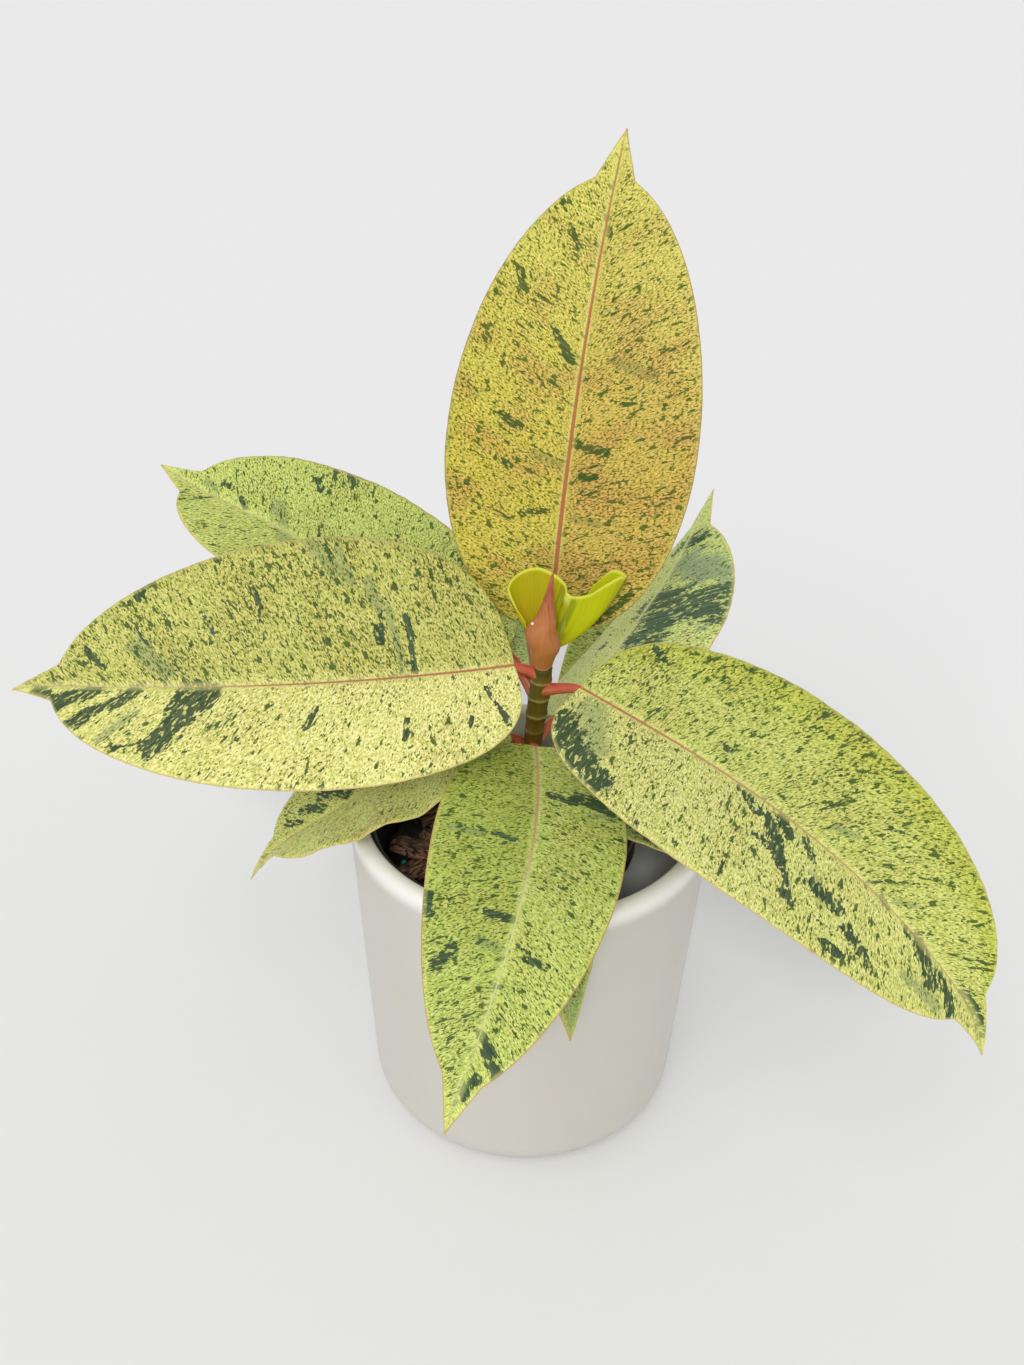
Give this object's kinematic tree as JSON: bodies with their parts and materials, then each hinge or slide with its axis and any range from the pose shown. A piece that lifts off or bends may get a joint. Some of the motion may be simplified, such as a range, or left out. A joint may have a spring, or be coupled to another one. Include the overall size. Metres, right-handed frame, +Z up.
{
  "type": "potted moonshine rubber plant",
  "caption": "Young rubber plant with marbled cream, lime and blush leaves, standing in its black nursery pot inside a plain white ceramic cover pot.",
  "frame": {"origin": "middle of the cover pot's flat underside, on the surface that it stands on", "axes": "+Z up along the pot's axis; -Y towards the front, where the plant is seen from; +X to the right"},
  "size_m": [0.3022, 0.2961, 0.3314],
  "materials": {
    "white_glaze": "satin",
    "black_plastic": "satin",
    "peat": "matte",
    "bark": "matte",
    "woody_stem": "satin",
    "salmon_sheath": "satin",
    "lime_leaf": "satin",
    "blush_leaf": "satin",
    "cream_leaf": "satin",
    "green_leaf": "satin",
    "lime_green_leaf": "satin",
    "olive_leaf": "satin"
  },
  "bodies": {
    "root": {"pot": "white_glaze", "nursery_pot": "black_plastic", "potting_mix": "peat", "bark_chips": "bark", "stem": "woody_stem", "bud_sheath": "salmon_sheath", "young_leaf": "lime_leaf", "leaf_top": "blush_leaf", "leaf_left": "cream_leaf", "leaf_right": "cream_leaf", "leaf_back_left": "green_leaf", "leaf_rear_left": "green_leaf", "leaf_back_right": "green_leaf", "leaf_front": "lime_green_leaf", "leaf_low_left": "olive_leaf", "leaf_rear_right": "green_leaf", "leaf_low_right": "green_leaf", "leaf_low_front": "lime_green_leaf"}
  },
  "joints": []
}
